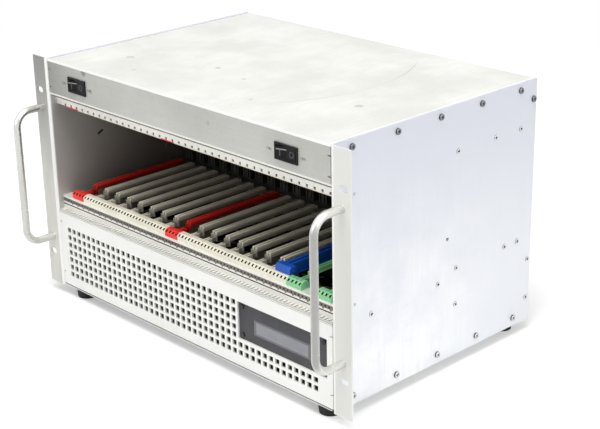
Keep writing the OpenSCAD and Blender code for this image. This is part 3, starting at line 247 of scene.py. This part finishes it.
# Metal finishes. Scuffs are [centre, reach, depth], fades [axis, span, tone] and areas [limits, tone].
# Painted shade: the inner faces of the rear panel and the base plate are painted darker, as the shade
# inside the case
paintedInsideShade = rgb(100, 96, 90)
metalLooks = {
    "sideSheet": {
        "light": rgb(253, 254, 255), "dark": rgb(234, 236, 241), "mark": rgb(160, 160, 162), "rough": 0.42,
        "grain": (6, 6, 0.4), "grainTone": 0.4, "metal": 0.25, "cloudScale": 14, "speckTone": 0.2,
        "scratchTone": 0.04,
        # painted shade: darker towards the back, and a bluish grey towards the top
        "fades": [("deep", (-0.05, 0.17), rgb(236, 238, 242)), ("high", (0.07, 0.285), rgb(217, 220, 229))],
        # painted shade on the flange, greyer on the left and darker towards its top, with a painted
        # highlight on its bend
        "flangeBack": -0.1268, "flangeTone": rgb(212, 211, 204), "flangeWorn": rgb(232, 232, 226),
        "flangeSpan": (0.1, 0.29), "flangeTopShade": rgb(150, 150, 148), "flangeRight": rgb(232, 232, 227),
        "wornScale": 22, "wornWay": (1, 1, 0.25), "bendHalf": 0.2202, "bendHighlight": rgb(252, 252, 249),
        # painted shade on the inner face, darker towards the back
        "innerHalf": 0.2162, "innerTop": 0.2755, "innerSpan": (-0.12, 0.03),
        "innerTone": rgb(193, 192, 188), "innerDeep": rgb(124, 119, 112)},
    "rearSheet": {
        "light": rgb(240, 241, 243), "dark": rgb(226, 228, 232), "mark": rgb(160, 160, 162), "rough": 0.42,
        "grain": (0.4, 6, 6), "grainTone": 0.15, "metal": 0.25, "speckTone": 0.2, "scratchTone": 0.06,
        # its inner face is painted darker as shade
        "areas": [({"deep": (-1, 0.1636)}, paintedInsideShade)]},
    "baseSheet": {
        "light": rgb(240, 241, 243), "dark": rgb(226, 228, 232), "mark": rgb(160, 160, 162), "rough": 0.42,
        "grain": (0.4, 6, 6), "grainTone": 0.15, "metal": 0.25, "speckTone": 0.2, "scratchTone": 0.06,
        # its upper, inner face is painted darker as shade
        "areas": [({"high": (0.0139, 1)}, paintedInsideShade)]},
    "coverSheet": {  # its bends and its front edge are painted lighter, as painted highlights
        "light": rgb(243, 243, 238), "dark": rgb(226, 226, 220), "mark": rgb(150, 147, 140), "rough": 0.45,
        "grain": (6, 0.4, 6), "grainTone": 0.35, "metal": 0.2, "cloudScale": 16, "speckTone": 0.3,
        "scratchTone": 0.06,
        "areas": [({"side": (0.2129, 1)}, rgb(255, 255, 252)),
                  ({"deep": (-1, -0.126)}, rgb(255, 255, 252))],
        "scuffs": [((-0.1555, -0.0612, 0.2772), 0.006, 0.5), ((-0.0508, -0.0264, 0.2772), 0.004, 0.6),
                   ((0.001, -0.0364, 0.2772), 0.003, 0.7), ((0.1527, -0.0255, 0.2772), 0.006, 0.5),
                   ((-0.112, -0.09, 0.2772), 0.003, 0.5), ((0.06, -0.08, 0.2772), 0.0035, 0.4)],
        "arc": {"centre": (-0.06, 0.03, 0.2772), "radius": 0.178, "wide": 0.0016, "left": 0.08,
                "right": 0.125, "ends": 0.02, "depth": 0.35}},
    "headerSheet": {  # painted shade darkens it towards its left end, and a painted highlight brightens its lower bend
        "light": rgb(206, 206, 201), "dark": rgb(190, 190, 185), "mark": rgb(112, 112, 108), "rough": 0.42,
        "grain": (0.4, 6, 6), "metal": 0.35, "speckTone": 0.25,
        "fades": [("across", (-0.25, -0.12, 1.0, 0.0), rgb(142, 142, 140))],
        "areas": [({"high": (-1, 0.2403)}, rgb(250, 250, 246))],
        "scuffs": [((-0.1505, -0.1272, 0.2738), 0.005, 0.9), ((0.05, -0.1272, 0.262), 0.003, 0.4),
                   ((-0.139, -0.1272, 0.2555), 0.0035, 0.45)]},
    "frontSheet": {
        "light": rgb(254, 254, 251), "dark": rgb(247, 247, 243), "mark": rgb(160, 160, 156), "rough": 0.42,
        "grain": (0.4, 6, 6), "grainTone": 0.12, "metal": 0.15, "speckTone": 0.2},
    # The shelves and fan tray: sheet metal made darker, as painted shade inside the case
    "insideSheet": {
        "light": rgb(120, 117, 112), "dark": rgb(96, 93, 88), "mark": rgb(60, 58, 54), "rough": 0.45,
        "grain": (0.4, 6, 6), "metal": 0.4},
    "railMetal": {  # two thin lines of painted shade along its front: a grey one by the ribs of its ledge, and a black one in the groove along it
        "light": rgb(248, 247, 241), "dark": rgb(236, 235, 229), "mark": rgb(140, 140, 136), "rough": 0.38,
        "grain": (0.3, 8, 8), "metal": 0.3, "speckTone": 0.2,
        "areas": [({"high": (0.1030, 0.1043), "deep": (-1, -0.1205)}, rgb(196, 196, 192)),
                  ({"high": (0.1096, 0.1108), "deep": (-1, -0.1170)}, rgb(26, 25, 24))]},
    # The rear rails: the front rails' metal made darker, as painted shade inside the case
    "innerRail": {
        "light": rgb(112, 108, 102), "dark": rgb(88, 85, 80), "mark": rgb(50, 48, 46), "rough": 0.42,
        "grain": (0.3, 8, 8), "metal": 0.4},
    "stripSteel": {
        "light": rgb(150, 144, 136), "dark": rgb(122, 117, 110), "mark": rgb(60, 58, 54), "rough": 0.35,
        "grain": (4, 4, 4), "metal": 0.7},
    "handleMetal": {
        "light": rgb(230, 230, 226), "dark": rgb(218, 218, 213), "mark": rgb(170, 170, 165), "rough": 0.28,
        "grain": (1.2, 1.2, 1.2), "grainTone": 0.06, "metal": 0.85, "bump": 0.0, "speckTone": 0.0,
        # a painted reflection: the dark stripe along the right handle's rod
        "scratchTone": 0.0, "coreAt": (0.230, -0.1632), "coreWay": (0.76, -0.65),
        "coreSpan": (0.0003, 0.0038), "coreReflectionTone": rgb(180, 180, 178)},
    "zincSteel": {
        "light": rgb(205, 206, 208), "dark": rgb(180, 181, 184), "mark": rgb(110, 110, 112), "rough": 0.35,
        "grain": (4, 4, 4), "metal": 0.8},
    "darkSteel": {
        "light": rgb(70, 70, 72), "dark": rgb(48, 48, 50), "mark": rgb(25, 25, 26), "rough": 0.38,
        "grain": (4, 4, 4), "metal": 0.7, "bump": 0.05},
    "panHead": {  # painted light makes the lower row brighter, and painted shade darkens the cross and the gap round each head
        "light": rgb(146, 147, 150), "dark": rgb(122, 123, 126), "mark": rgb(60, 60, 62), "rough": 0.36,
        "grain": (4, 4, 4), "metal": 0.6,
        "areas": [({"high": (-1, 0.1)}, rgb(212, 212, 212)), ({"side": (-1, 0.2192)}, rgb(44, 44, 46))]},
    # painted shade darkens the cross and the gap round each head
    "flatHead": {
        "light": rgb(240, 240, 242), "dark": rgb(226, 226, 229), "mark": rgb(120, 120, 122), "rough": 0.34,
        "grain": (4, 4, 4), "metal": 0.5, "areas": [({"side": (-1, 0.2183)}, rgb(40, 40, 42))]},
    "brass": {
        "light": rgb(214, 184, 116), "dark": rgb(190, 156, 88), "mark": rgb(120, 96, 50), "rough": 0.3,
        "grain": (4, 4, 4), "metal": 0.9}}

# Rows of pits in the guides' heads. A share is half a pit's width as a part of the pitch.
headPits = [
    {"pitch": 0.01016, "first": -0.1992, "share": 0.14,
     "area": {"high": (0.2255, 0.2292), "deep": (-0.2, 0.0)}},
    {"pitch": 0.00508, "first": -0.19666, "share": 0.21,
     "area": {"high": (0.1241, 0.1264), "deep": (-0.1190, -0.1153)}}]
blackTones = {"light": rgb(26, 26, 28), "dark": rgb(17, 17, 19), "rough": 0.3, "gloss": 0.18}
# A painted highlight for the rockers
rockerGlint = rgb(150, 148, 146)
plasticLooks = {
    "ivoryPlastic": {"light": rgb(244, 240, 224), "dark": rgb(233, 228, 209), "rough": 0.45,
                     "pits": headPits, "pitShade": rgb(40, 36, 30), "flankShade": rgb(146, 142, 130)},
    "redPlastic": {"light": rgb(246, 56, 42), "dark": rgb(232, 44, 34), "rough": 0.4,
                   "pits": headPits, "pitShade": rgb(52, 14, 12), "flankShade": rgb(150, 24, 18)},
    "bluePlastic": {"light": rgb(18, 96, 202), "dark": rgb(12, 78, 180), "rough": 0.35},
    "greenPlastic": {"light": rgb(150, 218, 162), "dark": rgb(132, 203, 147), "rough": 0.42,
                     "pits": headPits, "pitShade": rgb(16, 40, 24)},
    "blackPlastic": blackTones,
    "rockerPlastic": {  # a painted highlight on the upper edge of a rocker's raised half
        **blackTones,
        "areas": [({"across": (-0.1725, -0.162), "high": (0.2594, 0.2605)}, rockerGlint),
                  ({"across": (0.1499, 0.1604), "high": (0.2594, 0.2605)}, rockerGlint)]},
    "greyPlastic": {  # with a painted shadow in the gap over the bezel
        "light": rgb(78, 78, 81), "dark": rgb(66, 66, 70), "rough": 0.5, "gloss": 0.35,
        "areas": [({"high": (0.0839, 1)}, rgb(20, 20, 22))]},
    "windowPlastic": {"light": rgb(150, 152, 158), "dark": rgb(140, 142, 149), "rough": 0.22,
                      "frame": {"across": (0.1077, 0.1807), "high": (0.0568, 0.0688)},
                      "frameTone": rgb(112, 112, 117)},
    "boardGreen": {"light": rgb(36, 46, 36), "dark": rgb(26, 35, 27), "rough": 0.45},
    "connectorPlastic": {"light": rgb(56, 52, 47), "dark": rgb(42, 39, 36), "rough": 0.5},
    "markWhite": {"light": rgb(84, 84, 86), "dark": rgb(72, 72, 74), "rough": 0.5},
    "markGrey": {"light": rgb(84, 84, 83), "dark": rgb(66, 66, 65), "rough": 0.6},
    "markBlack": {"light": rgb(26, 25, 25), "dark": rgb(16, 15, 15), "rough": 0.6},
    "rubber": {"light": rgb(34, 34, 35), "dark": rgb(24, 24, 25), "rough": 0.7}}
finishes = {name: makeMetal(name, look) for name, look in metalLooks.items()}
finishes.update({name: makePlastic(name, look) for name, look in plasticLooks.items()})

# Nodes that aren't named here, such as switch housings and fans, are of black plastic
nodeFinish = {
    "side_panel_left": "sideSheet", "side_panel_right": "sideSheet", "top_cover": "coverSheet",
    "base_plate": "baseSheet", "rear_panel": "rearSheet", "header_panel": "headerSheet",
    "lower_front_panel": "frontSheet", "display_bezel": "greyPlastic", "display_window": "windowPlastic",
    "display_board": "boardGreen", "display_spacers": "brass", "display_screws": "darkSteel",
    "handle_left": "handleMetal", "handle_right": "handleMetal", "handle_screws": "zincSteel",
    "front_rail_lower": "railMetal", "front_rail_upper": "railMetal", "rear_rail_lower": "innerRail",
    "rear_rail_upper": "innerRail", "threaded_strip_lower": "stripSteel",
    "threaded_strip_upper": "stripSteel", "rail_brackets": "zincSteel", "switch_terminals": "brass",
    "switch_left_rocker": "rockerPlastic", "switch_right_rocker": "rockerPlastic",
    "lower_guides_left": "ivoryPlastic", "lower_guides_right": "ivoryPlastic",
    "lower_guides_red": "redPlastic", "lower_guide_blue": "bluePlastic",
    "lower_guides_green": "greenPlastic", "upper_guides_ivory": "ivoryPlastic",
    "upper_guides_red": "redPlastic", "backplane": "boardGreen", "backplane_connectors": "connectorPlastic",
    "shelf_lower": "insideSheet", "shelf_upper": "insideSheet", "fan_tray": "insideSheet",
    "power_supply": "zincSteel", "inlet_pins": "brass", "feet": "rubber", "foot_screws": "zincSteel",
    "cover_screws": "darkSteel", "side_screws": "zincSteel"}
for name, node in nodes.items():
    node.data.materials.clear()
    node.data.materials.append(finishes[nodeFinish.get(name, "blackPlastic")])
print("stage: finishes")


# New pieces, in metres. mm() turns the CAD's own millimetres into places here.
def mm(x, y, z):
    return Vector((x / 1000, (y - 128.2) / 1000, (z + 12) / 1000))


def only(*chosen):
    bpy.ops.object.select_all(action="DESELECT")
    for piece in chosen:
        piece.select_set(True)
    bpy.context.view_layer.objects.active = chosen[0]


def settle(piece, turn):
    # Moves a piece modelled at the origin to its place, and keeps the place in its mesh
    piece.matrix_world = turn
    only(piece)
    bpy.ops.object.transform_apply(location=True, rotation=True, scale=True)


def copyTo(model, turns, name):
    # One copy for each place, each with its own mesh, joined into one piece
    copies = []
    for turn in turns:
        copied = model.copy()
        copied.data = model.data.copy()
        bpy.context.scene.collection.objects.link(copied)
        settle(copied, turn)
        copies.append(copied)
    only(*copies)
    bpy.ops.object.join()
    piece = bpy.context.object
    piece.name = name
    piece.data.name = name
    bpy.data.objects.remove(model)
    return piece


def dress(piece, finish, body):
    piece.data.materials.clear()
    piece.data.materials.append(finishes[finish])
    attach(piece, body)


def roundEdges(offset):
    # Every edge of the newest piece gets a small bevel
    bpy.ops.object.mode_set(mode="EDIT")
    bpy.ops.mesh.select_all(action="SELECT")
    bpy.ops.mesh.bevel(offset=offset, segments=2, affect="EDGES")
    bpy.ops.object.mode_set(mode="OBJECT")


def roundedBox(size, offset, spot=(0, 0, 0), turned=0.0):
    bpy.ops.object.select_all(action="DESELECT")
    bpy.ops.mesh.primitive_cube_add(size=1, location=spot, rotation=(0, 0, turned))
    box = bpy.context.object
    box.scale = size
    bpy.ops.object.transform_apply(location=True, rotation=True, scale=True)
    roundEdges(offset)
    return box


def screwModel(look):
    # A head on a shank along +Z, its rim rounded, with a cross recess cut in
    bpy.ops.object.select_all(action="DESELECT")
    bpy.ops.mesh.primitive_cylinder_add(vertices=32, radius=look["headWide"] / 2, depth=look["headHigh"],
                                        location=(0, 0, look["headHigh"] / 2))
    head = bpy.context.object
    bpy.ops.object.transform_apply(location=True, rotation=False, scale=False)
    bpy.ops.object.mode_set(mode="EDIT")
    bpy.ops.mesh.select_all(action="DESELECT")
    bpy.ops.object.mode_set(mode="OBJECT")
    for edge in head.data.edges:  # the edges of the upper rim
        edge.select = all(head.data.vertices[v].co.z > look["headHigh"] * 0.9 for v in edge.vertices)
    bpy.ops.object.mode_set(mode="EDIT")
    bpy.ops.mesh.select_mode(type="EDGE")
    bpy.ops.mesh.bevel(offset=look["rim"], segments=4, affect="EDGES")
    bpy.ops.object.mode_set(mode="OBJECT")
    for turned in (0, math.pi / 2):
        cutter = roundedBox((look["crossLong"], look["crossWide"], look["crossDeep"] * 2),
                            look["crossWide"] * 0.3, (0, 0, look["headHigh"]), turned)
        cut = head.modifiers.new("cross", "BOOLEAN")
        cut.operation = "DIFFERENCE"
        cut.object = cutter
        only(head)
        bpy.ops.object.modifier_apply(modifier=cut.name)
        bpy.data.objects.remove(cutter)
    bpy.ops.object.select_all(action="DESELECT")
    bpy.ops.mesh.primitive_cylinder_add(vertices=20, radius=look["shankWide"] / 2, depth=look["shankLong"],
                                        location=(0, 0, -look["shankLong"] / 2))
    shank = bpy.context.object
    bpy.ops.object.transform_apply(location=True, rotation=False, scale=False)
    only(head, shank)
    bpy.ops.object.join()
    bpy.ops.object.shade_smooth_by_angle(angle=math.radians(35))
    return head


# Side screws, at [Y, Z] in the CAD's millimetres, the same on both sides. Each has its own turn.
sideScrews = {
    "face": 217.9, "firstTurn": 0.5, "nextTurn": 1.3,
    "pan": {"headWide": 0.0064, "headHigh": 0.0019, "rim": 0.0007, "crossLong": 0.0036,
            "crossWide": 0.0009, "crossDeep": 0.0011, "shankWide": 0.003, "shankLong": 0.0075},
    "flat": {"headWide": 0.006, "headHigh": 0.0005, "rim": 0.0002, "crossLong": 0.0036,
             "crossWide": 0.0012, "crossDeep": 0.0004, "shankWide": 0.003, "shankLong": 0.0075},
    "panPlaces": [(y, z) for z in (258.0, 9.4) for y in (25.9, 86.2, 146.5, 206.8, 267.1)]
                 + [(288.2, 245.1)],
    "flatPlaces": [(173, 217.7), (230.04, 217.7), (269.8, 217.7), (173, 95.6), (248.99, 95.6),
                   (269.8, 95.6), (51, 86.2), (146, 86.2), (173, 56.2), (288.2, 26.5), (288.2, 70.3)]}


def sidePlaces(places):
    turns = []
    for index, (y, z) in enumerate(places):
        for handed in (1, -1):
            angle = sideScrews["firstTurn"] + sideScrews["nextTurn"] * index + handed
            spin = Matrix.Rotation(angle, 4, "Z")
            lean = Matrix.Rotation(handed * math.pi / 2, 4, "Y")
            turns.append(Matrix.Translation(mm(handed * sideScrews["face"], y, z)) @ lean @ spin)
    return turns


panScrews = copyTo(screwModel(sideScrews["pan"]), sidePlaces(sideScrews["panPlaces"]), "panScrews")
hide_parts("cover_screws")
dress(panScrews, "panHead", "enclosure")
flatScrews = copyTo(screwModel(sideScrews["flat"]), sidePlaces(sideScrews["flatPlaces"]), "flatScrews")
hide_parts("side_screws")
dress(flatScrews, "flatHead", "enclosure")
print("stage: side screws")

# Words beside the switches, printed on the header, as [word, X]
labels = {"size": 0.0042, "raise": 0.00006, "height": 242.4, "face": 1.0,
          "words": [("ON", -190.5), ("OFF", -145.6), ("ON", 132.5), ("OFF", 177.2)]}
for index, (word, x) in enumerate(labels["words"]):
    bpy.ops.object.select_all(action="DESELECT")
    bpy.ops.object.text_add()
    text = bpy.context.object
    text.data.body = word
    text.data.size = labels["size"]
    text.data.extrude = labels["raise"]
    bpy.ops.object.convert(target="MESH")
    text = bpy.context.object
    text.name = "switchWord%d" % index
    upright = Matrix.Rotation(math.pi / 2, 4, "X")
    settle(text, Matrix.Translation(mm(x, labels["face"], labels["height"])) @ upright)
    dress(text, "markGrey", "enclosure")

# Bar and ring on the rockers, at [X, Y, angle] from the pivot. The left half of a rocker stands out
# and its right half lies flush.
rockerMarks = {"barWide": 0.0011, "barHigh": 0.0062, "barEdge": 0.00005, "thick": 0.0002,
               "ringWide": 0.0052, "ringThin": 0.0008,
               "bar": (-5.668, -6.722, 18), "ring": (7.468, -4.642, 0),
               "pivots": {"left_rocker": (-163, 4.5, 244.6), "right_rocker": (159.4, 4.5, 244.6)}}
for body, pivot in rockerMarks["pivots"].items():
    bar = roundedBox((rockerMarks["barWide"], rockerMarks["thick"], rockerMarks["barHigh"]),
                     rockerMarks["barEdge"])
    bpy.ops.object.select_all(action="DESELECT")
    bpy.ops.mesh.primitive_torus_add(major_segments=40, minor_segments=8,
                                     major_radius=rockerMarks["ringWide"] / 2,
                                     minor_radius=rockerMarks["ringThin"] / 2, rotation=(math.pi / 2, 0, 0))
    ring = bpy.context.object
    ring.scale = (1, 1, rockerMarks["thick"] / rockerMarks["ringThin"])
    bpy.ops.object.transform_apply(location=False, rotation=True, scale=True)
    for piece, name in ((bar, "bar"), (ring, "ring")):
        x, y, angle = rockerMarks[name]
        piece.name = body + "_" + name
        spot = mm(pivot[0] + x, pivot[1] + y, pivot[2])
        settle(piece, Matrix.Translation(spot) @ Matrix.Rotation(math.radians(angle), 4, "Z"))
        dress(piece, "markWhite", body)

# A dark slanted mark on the inside of the left wall
wallMark = {"thick": 0.0003, "long": 0.0078, "wide": 0.0024, "spot": (-215.82, 64.0, 168.3), "slope": 26}
slit = roundedBox((wallMark["thick"], wallMark["long"], wallMark["wide"]), wallMark["thick"] / 4)
slit.name = "wallMark"
slope = Matrix.Rotation(math.radians(wallMark["slope"]), 4, "X")
settle(slit, Matrix.Translation(mm(*wallMark["spot"])) @ slope)
dress(slit, "markBlack", "enclosure")

# A cap closes the free hole of the left wall from the inside
holeCap = {"wide": 0.0062, "thick": 0.0009, "edge": 0.0003, "spot": (-215.44, 159, 130.1)}
bpy.ops.object.select_all(action="DESELECT")
bpy.ops.mesh.primitive_cylinder_add(vertices=32, radius=holeCap["wide"] / 2, depth=holeCap["thick"],
                                    rotation=(0, math.pi / 2, 0))
cap = bpy.context.object
bpy.ops.object.transform_apply(location=False, rotation=True, scale=False)
roundEdges(holeCap["edge"])
cap.name = "holeCap"
settle(cap, Matrix.Translation(mm(*holeCap["spot"])))
dress(cap, "sideSheet", "enclosure")
print("stage: words and marks")

# Camera, with its angles in radians and its focal length in pixels of the picture's width
view = {"place": (1.0670581, -0.9737107, 0.6739591), "azimuth": -0.8113, "elevation": -0.3671,
        "roll": -0.0192, "focal": 1442.7908, "imageWidth": 600, "sensor": 36.0, "reach": 20}
azimuth, elevation, roll = view["azimuth"], view["elevation"], view["roll"]
forward = Vector((math.sin(azimuth) * math.cos(elevation), math.cos(azimuth) * math.cos(elevation),
                  math.sin(elevation)))
level = Vector((math.cos(azimuth), -math.sin(azimuth), 0))
upward = level.cross(forward)
rolledSide = level * math.cos(roll) + upward * math.sin(roll)
rolledTop = upward * math.cos(roll) - level * math.sin(roll)
camera = bpy.data.objects.new("camera", bpy.data.cameras.new("camera"))
bpy.context.scene.collection.objects.link(camera)
aim = Matrix((rolledSide, rolledTop, -forward)).transposed().to_4x4()
camera.matrix_world = Matrix.Translation(view["place"]) @ aim
camera.data.sensor_width = view["sensor"]
camera.data.lens = view["focal"] / view["imageWidth"] * view["sensor"]
camera.data.clip_end = view["reach"]
bpy.context.scene.camera = camera

# Soft round lamps, all aimed at the middle of the case
lamps = {"aim": (0, 0, 0.15),
         "keyLamp": {"spot": (0.6, -1.4, 4.2), "size": 2.4, "power": 113, "colour": (1, 1, 1)},
         "sideLamp": {"spot": (3.4, 0.2, 1.8), "size": 1.8, "power": 44, "colour": (0.97, 0.98, 1.0)},
         "frontLamp": {"spot": (-0.5, -3.5, 1.6), "size": 1.8, "power": 17, "colour": (1, 1, 1)}}
for name in ("keyLamp", "sideLamp", "frontLamp"):
    data = bpy.data.lights.new(name, "AREA")
    data.shape = "DISK"
    data.size = lamps[name]["size"]
    data.energy = lamps[name]["power"]
    data.color = lamps[name]["colour"]
    lamp = bpy.data.objects.new(name, data)
    bpy.context.scene.collection.objects.link(lamp)
    lamp.location = lamps[name]["spot"]
    toAim = Vector(lamps["aim"]) - Vector(lamps[name]["spot"])
    lamp.rotation_euler = toAim.to_track_quat("-Z", "Y").to_euler()

# The room is white where it is seen or mirrored, and gives only a part of that as light
roomLight = 0.4
world = bpy.data.worlds.new("world")
bpy.context.scene.world = world
world.use_nodes = True
world.node_tree.nodes.clear()
sky = Wire(world.node_tree)
seen = sky.add("LightPath", out="Is Camera Ray")
glossy = sky.add("LightPath", out="Is Glossy Ray")
through = sky.add("LightPath", out="Is Transmission Ray")
white = seen.maths("MAXIMUM", seen.maths("MAXIMUM", seen, glossy), through)
strength = white * (1 - roomLight) + roomLight
backdrop = sky.add("Background", None, {"Color": (1, 1, 1, 1), "Strength": strength})
end = world.node_tree.nodes.new("ShaderNodeOutputWorld")
world.node_tree.links.new(backdrop.socket, end.inputs[0])

# Floor: pale, with the case's shadow, and plain white from a distance on
floorLook = {"size": 14, "colour": (0.9, 0.9, 0.89, 1), "glow": 0.2, "glowColour": (1, 1, 0.99, 1),
             "fade": (0.7, 1.5)}
bpy.ops.object.select_all(action="DESELECT")
bpy.ops.mesh.primitive_plane_add(size=floorLook["size"], location=(0, 0, 0))
floor = bpy.context.object
floor.name = "floor"
floorFinish, start = newFinish("floorFinish")
cameraRay = start.add("LightPath", out="Is Camera Ray")
flat = start.add("BsdfDiffuse", None, {"Color": floorLook["colour"], "Roughness": 0.5})
glow = start.add("Emission", None, {"Color": floorLook["glowColour"],
                                    "Strength": cameraRay * floorLook["glow"]})
near = start.add("AddShader", None, {0: flat, 1: glow})
paper = start.add("Emission", None, {"Color": (1, 1, 1, 1), "Strength": 1.0})
away = start.add("VectorMath", {"operation": "LENGTH"}, {0: objectPlace(start)}, "Value")
share = away.between(*floorLook["fade"]) * cameraRay
closeFinish(start, start.add("MixShader", None, {0: share, 1: near, 2: paper}))
floor.data.materials.append(floorFinish)
bpy.context.scene.view_settings.view_transform = "Standard"
print("stage: studio")
